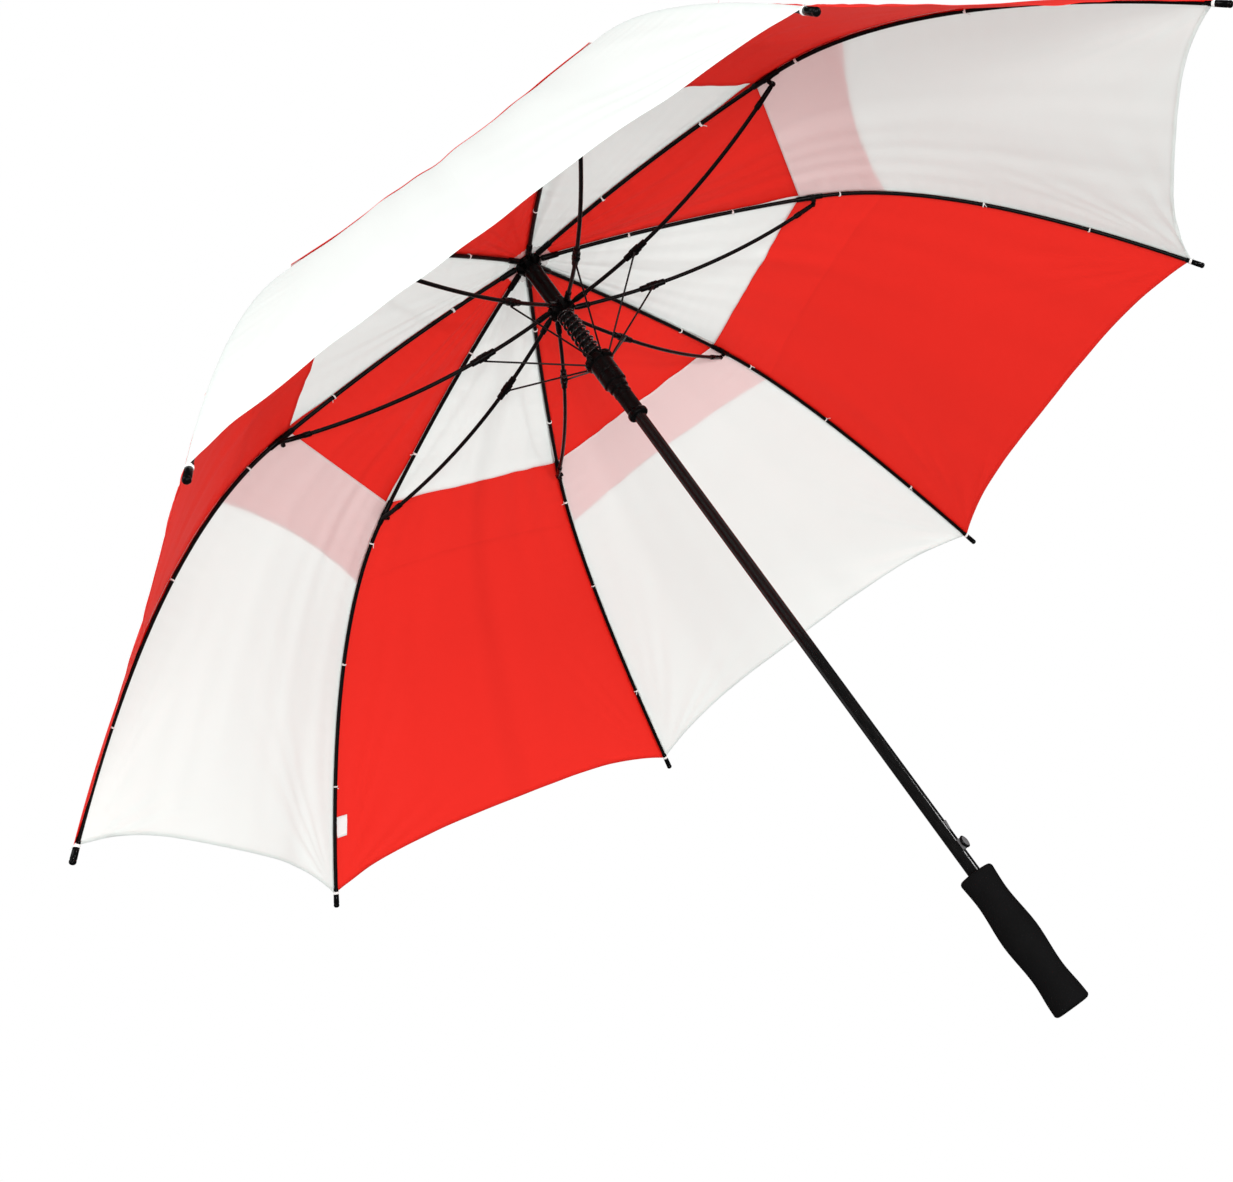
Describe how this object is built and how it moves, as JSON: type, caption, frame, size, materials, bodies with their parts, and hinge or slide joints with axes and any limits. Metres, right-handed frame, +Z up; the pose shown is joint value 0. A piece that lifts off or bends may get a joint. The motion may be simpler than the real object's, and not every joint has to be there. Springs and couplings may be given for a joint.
{
  "type": "golf umbrella",
  "caption": "Open golf umbrella with a vented double canopy, folding ribs and stretchers, a sprung runner with a release button, and a straight foam handle.",
  "frame": {"origin": "centre of the handle's flat bottom face", "axes": "+Z up the shaft towards the ferrule; +X along rib 6 and through the release button"},
  "size_m": [1.448, 1.448, 1.0887],
  "materials": {
    "black_plastic": "satin black moulded plastic",
    "gloss_black": "glossy black moulded plastic",
    "fibreglass": "black pultruded fibreglass, satin",
    "foam": "matte black closed-cell foam",
    "spring_steel": "black oxide spring steel",
    "wire_steel": "black coated steel wire",
    "grey_plastic": "dark grey moulded plastic",
    "red_cloth": "red plain-weave pongee cloth",
    "white_cloth": "white plain-weave pongee cloth"
  },
  "bodies": {
    "shaft": {"shaft_tube": "fibreglass", "handle_core": "black_plastic", "handle_grip": "foam", "handle_end_cap": "black_plastic", "latch_leaf_spring": "spring_steel", "top_notch": "black_plastic", "canopy_cap": "black_plastic", "ferrule": "black_plastic", "canopy_upper": "red_cloth", "canopy_lower": "white_cloth"},
    "upper_runner": {"upper_runner": "black_plastic"},
    "lower_runner": {"lower_runner": "black_plastic", "runner_collar": "gloss_black", "opening_spring": "spring_steel"},
    "release_button": {"release_button": "grey_plastic", "latch_catch": "grey_plastic"},
    "rib_inner_1": {"rib_inner_1": "fibreglass"},
    "rib_outer_1": {"rib_outer_1": "fibreglass", "rib_tip_1": "gloss_black"},
    "stretcher_1": {"stretcher_1": "fibreglass"},
    "pull_wire_1": {"pull_wire_1": "wire_steel"},
    "rib_inner_2": {"rib_inner_2": "fibreglass"},
    "rib_outer_2": {"rib_outer_2": "fibreglass", "rib_tip_2": "gloss_black"},
    "stretcher_2": {"stretcher_2": "fibreglass"},
    "pull_wire_2": {"pull_wire_2": "wire_steel"},
    "rib_inner_3": {"rib_inner_3": "fibreglass"},
    "rib_outer_3": {"rib_outer_3": "fibreglass", "rib_tip_3": "gloss_black"},
    "stretcher_3": {"stretcher_3": "fibreglass"},
    "pull_wire_3": {"pull_wire_3": "wire_steel"},
    "rib_inner_4": {"rib_inner_4": "fibreglass"},
    "rib_outer_4": {"rib_outer_4": "fibreglass", "rib_tip_4": "gloss_black"},
    "stretcher_4": {"stretcher_4": "fibreglass"},
    "pull_wire_4": {"pull_wire_4": "wire_steel"},
    "rib_inner_5": {"rib_inner_5": "fibreglass"},
    "rib_outer_5": {"rib_outer_5": "fibreglass", "rib_tip_5": "gloss_black"},
    "stretcher_5": {"stretcher_5": "fibreglass"},
    "pull_wire_5": {"pull_wire_5": "wire_steel"},
    "rib_inner_6": {"rib_inner_6": "fibreglass"},
    "rib_outer_6": {"rib_outer_6": "fibreglass", "rib_tip_6": "gloss_black"},
    "stretcher_6": {"stretcher_6": "fibreglass"},
    "pull_wire_6": {"pull_wire_6": "wire_steel"},
    "rib_inner_7": {"rib_inner_7": "fibreglass"},
    "rib_outer_7": {"rib_outer_7": "fibreglass", "rib_tip_7": "gloss_black"},
    "stretcher_7": {"stretcher_7": "fibreglass"},
    "pull_wire_7": {"pull_wire_7": "wire_steel"},
    "rib_inner_8": {"rib_inner_8": "fibreglass"},
    "rib_outer_8": {"rib_outer_8": "fibreglass", "rib_tip_8": "gloss_black"},
    "stretcher_8": {"stretcher_8": "fibreglass"},
    "pull_wire_8": {"pull_wire_8": "wire_steel"}
  },
  "joints": [
    {"name": "runner_slide", "type": "slide", "parent": "shaft", "child": "upper_runner", "axis": [0, 0, -1], "range_m": [0, 0.6085], "stiffness_N_per_m": 40, "springref_m": -0.35, "deforming": ["canopy_upper", "canopy_lower"]},
    {"name": "lower_runner_slide", "type": "slide", "parent": "upper_runner", "child": "lower_runner", "axis": [0, 0, 1], "range_m": [0, 0.0674], "deforming": ["opening_spring"]},
    {"name": "button_press", "type": "slide", "parent": "shaft", "child": "release_button", "axis": [-1, 0, 0], "range_m": [0, 0.0022], "stiffness_N_per_m": 1500, "springref_m": -0.002},
    {"name": "rib_fold_1", "type": "hinge", "parent": "shaft", "child": "rib_inner_1", "pos_m": [-0.00778, -0.00778, 1.018], "axis": [-0.7071, 0.7071, 0], "range_deg": [-73.38, 0]},
    {"name": "rib_flex_1", "type": "hinge", "parent": "rib_inner_1", "child": "rib_outer_1", "pos_m": [-0.25173, -0.25173, 0.939], "axis": [-0.7071, 0.7071, 0], "range_deg": [0, 24.62]},
    {"name": "stretcher_fold_1", "type": "hinge", "parent": "upper_runner", "child": "stretcher_1", "pos_m": [-0.0053, -0.01308, 0.943], "axis": [-0.7071, 0.7071, 0], "range_deg": [0, 88.94]},
    {"name": "wire_fold_1", "type": "hinge", "parent": "lower_runner", "child": "pull_wire_1", "pos_m": [-0.00962, -0.0123, 0.862], "axis": [-0.7071, 0.7071, 0], "range_deg": [0, 47.73]},
    {"name": "rib_fold_2", "type": "hinge", "parent": "shaft", "child": "rib_inner_2", "pos_m": [-0.011, 0, 1.018], "axis": [0, 1, 0], "range_deg": [-73.38, 0]},
    {"name": "rib_flex_2", "type": "hinge", "parent": "rib_inner_2", "child": "rib_outer_2", "pos_m": [-0.356, 0, 0.939], "axis": [0, 1, 0], "range_deg": [0, 24.62]},
    {"name": "stretcher_fold_2", "type": "hinge", "parent": "upper_runner", "child": "stretcher_2", "pos_m": [-0.013, -0.0055, 0.943], "axis": [0, 1, 0], "range_deg": [0, 88.94]},
    {"name": "wire_fold_2", "type": "hinge", "parent": "lower_runner", "child": "pull_wire_2", "pos_m": [-0.0155, -0.0019, 0.862], "axis": [0, 1, 0], "range_deg": [0, 47.73]},
    {"name": "rib_fold_3", "type": "hinge", "parent": "shaft", "child": "rib_inner_3", "pos_m": [-0.00778, 0.00778, 1.018], "axis": [0.7071, 0.7071, 0], "range_deg": [-73.38, 0]},
    {"name": "rib_flex_3", "type": "hinge", "parent": "rib_inner_3", "child": "rib_outer_3", "pos_m": [-0.25173, 0.25173, 0.939], "axis": [0.7071, 0.7071, 0], "range_deg": [0, 24.62]},
    {"name": "stretcher_fold_3", "type": "hinge", "parent": "upper_runner", "child": "stretcher_3", "pos_m": [-0.01308, 0.0053, 0.943], "axis": [0.7071, 0.7071, 0], "range_deg": [0, 88.94]},
    {"name": "wire_fold_3", "type": "hinge", "parent": "lower_runner", "child": "pull_wire_3", "pos_m": [-0.0123, 0.00962, 0.862], "axis": [0.7071, 0.7071, 0], "range_deg": [0, 47.73]},
    {"name": "rib_fold_4", "type": "hinge", "parent": "shaft", "child": "rib_inner_4", "pos_m": [0, 0.011, 1.018], "axis": [1, 0, 0], "range_deg": [-73.38, 0]},
    {"name": "rib_flex_4", "type": "hinge", "parent": "rib_inner_4", "child": "rib_outer_4", "pos_m": [0, 0.356, 0.939], "axis": [1, 0, 0], "range_deg": [0, 24.62]},
    {"name": "stretcher_fold_4", "type": "hinge", "parent": "upper_runner", "child": "stretcher_4", "pos_m": [-0.0055, 0.013, 0.943], "axis": [1, 0, 0], "range_deg": [0, 88.94]},
    {"name": "wire_fold_4", "type": "hinge", "parent": "lower_runner", "child": "pull_wire_4", "pos_m": [-0.0019, 0.0155, 0.862], "axis": [1, 0, 0], "range_deg": [0, 47.73]},
    {"name": "rib_fold_5", "type": "hinge", "parent": "shaft", "child": "rib_inner_5", "pos_m": [0.00778, 0.00778, 1.018], "axis": [0.7071, -0.7071, 0], "range_deg": [-73.38, 0]},
    {"name": "rib_flex_5", "type": "hinge", "parent": "rib_inner_5", "child": "rib_outer_5", "pos_m": [0.25173, 0.25173, 0.939], "axis": [0.7071, -0.7071, 0], "range_deg": [0, 24.62]},
    {"name": "stretcher_fold_5", "type": "hinge", "parent": "upper_runner", "child": "stretcher_5", "pos_m": [0.0053, 0.01308, 0.943], "axis": [0.7071, -0.7071, 0], "range_deg": [0, 88.94]},
    {"name": "wire_fold_5", "type": "hinge", "parent": "lower_runner", "child": "pull_wire_5", "pos_m": [0.00962, 0.0123, 0.862], "axis": [0.7071, -0.7071, 0], "range_deg": [0, 47.73]},
    {"name": "rib_fold_6", "type": "hinge", "parent": "shaft", "child": "rib_inner_6", "pos_m": [0.011, 0, 1.018], "axis": [0, -1, 0], "range_deg": [-73.38, 0]},
    {"name": "rib_flex_6", "type": "hinge", "parent": "rib_inner_6", "child": "rib_outer_6", "pos_m": [0.356, 0, 0.939], "axis": [0, -1, 0], "range_deg": [0, 24.62]},
    {"name": "stretcher_fold_6", "type": "hinge", "parent": "upper_runner", "child": "stretcher_6", "pos_m": [0.013, 0.0055, 0.943], "axis": [0, -1, 0], "range_deg": [0, 88.94]},
    {"name": "wire_fold_6", "type": "hinge", "parent": "lower_runner", "child": "pull_wire_6", "pos_m": [0.0155, 0.0019, 0.862], "axis": [0, -1, 0], "range_deg": [0, 47.73]},
    {"name": "rib_fold_7", "type": "hinge", "parent": "shaft", "child": "rib_inner_7", "pos_m": [0.00778, -0.00778, 1.018], "axis": [-0.7071, -0.7071, 0], "range_deg": [-73.38, 0]},
    {"name": "rib_flex_7", "type": "hinge", "parent": "rib_inner_7", "child": "rib_outer_7", "pos_m": [0.25173, -0.25173, 0.939], "axis": [-0.7071, -0.7071, 0], "range_deg": [0, 24.62]},
    {"name": "stretcher_fold_7", "type": "hinge", "parent": "upper_runner", "child": "stretcher_7", "pos_m": [0.01308, -0.0053, 0.943], "axis": [-0.7071, -0.7071, 0], "range_deg": [0, 88.94]},
    {"name": "wire_fold_7", "type": "hinge", "parent": "lower_runner", "child": "pull_wire_7", "pos_m": [0.0123, -0.00962, 0.862], "axis": [-0.7071, -0.7071, 0], "range_deg": [0, 47.73]},
    {"name": "rib_fold_8", "type": "hinge", "parent": "shaft", "child": "rib_inner_8", "pos_m": [0, -0.011, 1.018], "axis": [-1, 0, 0], "range_deg": [-73.38, 0]},
    {"name": "rib_flex_8", "type": "hinge", "parent": "rib_inner_8", "child": "rib_outer_8", "pos_m": [0, -0.356, 0.939], "axis": [-1, 0, 0], "range_deg": [0, 24.62]},
    {"name": "stretcher_fold_8", "type": "hinge", "parent": "upper_runner", "child": "stretcher_8", "pos_m": [0.0055, -0.013, 0.943], "axis": [-1, 0, 0], "range_deg": [0, 88.94]},
    {"name": "wire_fold_8", "type": "hinge", "parent": "lower_runner", "child": "pull_wire_8", "pos_m": [0.0019, -0.0155, 0.862], "axis": [-1, 0, 0], "range_deg": [0, 47.73]}
  ],
  "couplings": [
    {"joint": "lower_runner_slide", "follows": "runner_slide", "ratio": 0.11076},
    {"joint": "rib_fold_1", "follows": "runner_slide", "rad_per_m": -2.1046},
    {"joint": "rib_flex_1", "follows": "runner_slide", "rad_per_m": 0.7061},
    {"joint": "stretcher_fold_1", "follows": "runner_slide", "rad_per_m": 2.5512},
    {"joint": "wire_fold_1", "follows": "runner_slide", "rad_per_m": 1.369},
    {"joint": "rib_fold_2", "follows": "runner_slide", "rad_per_m": -2.1046},
    {"joint": "rib_flex_2", "follows": "runner_slide", "rad_per_m": 0.7061},
    {"joint": "stretcher_fold_2", "follows": "runner_slide", "rad_per_m": 2.5512},
    {"joint": "wire_fold_2", "follows": "runner_slide", "rad_per_m": 1.369},
    {"joint": "rib_fold_3", "follows": "runner_slide", "rad_per_m": -2.1046},
    {"joint": "rib_flex_3", "follows": "runner_slide", "rad_per_m": 0.7061},
    {"joint": "stretcher_fold_3", "follows": "runner_slide", "rad_per_m": 2.5512},
    {"joint": "wire_fold_3", "follows": "runner_slide", "rad_per_m": 1.369},
    {"joint": "rib_fold_4", "follows": "runner_slide", "rad_per_m": -2.1046},
    {"joint": "rib_flex_4", "follows": "runner_slide", "rad_per_m": 0.7061},
    {"joint": "stretcher_fold_4", "follows": "runner_slide", "rad_per_m": 2.5512},
    {"joint": "wire_fold_4", "follows": "runner_slide", "rad_per_m": 1.369},
    {"joint": "rib_fold_5", "follows": "runner_slide", "rad_per_m": -2.1046},
    {"joint": "rib_flex_5", "follows": "runner_slide", "rad_per_m": 0.7061},
    {"joint": "stretcher_fold_5", "follows": "runner_slide", "rad_per_m": 2.5512},
    {"joint": "wire_fold_5", "follows": "runner_slide", "rad_per_m": 1.369},
    {"joint": "rib_fold_6", "follows": "runner_slide", "rad_per_m": -2.1046},
    {"joint": "rib_flex_6", "follows": "runner_slide", "rad_per_m": 0.7061},
    {"joint": "stretcher_fold_6", "follows": "runner_slide", "rad_per_m": 2.5512},
    {"joint": "wire_fold_6", "follows": "runner_slide", "rad_per_m": 1.369},
    {"joint": "rib_fold_7", "follows": "runner_slide", "rad_per_m": -2.1046},
    {"joint": "rib_flex_7", "follows": "runner_slide", "rad_per_m": 0.7061},
    {"joint": "stretcher_fold_7", "follows": "runner_slide", "rad_per_m": 2.5512},
    {"joint": "wire_fold_7", "follows": "runner_slide", "rad_per_m": 1.369},
    {"joint": "rib_fold_8", "follows": "runner_slide", "rad_per_m": -2.1046},
    {"joint": "rib_flex_8", "follows": "runner_slide", "rad_per_m": 0.7061},
    {"joint": "stretcher_fold_8", "follows": "runner_slide", "rad_per_m": 2.5512},
    {"joint": "wire_fold_8", "follows": "runner_slide", "rad_per_m": 1.369}
  ]
}
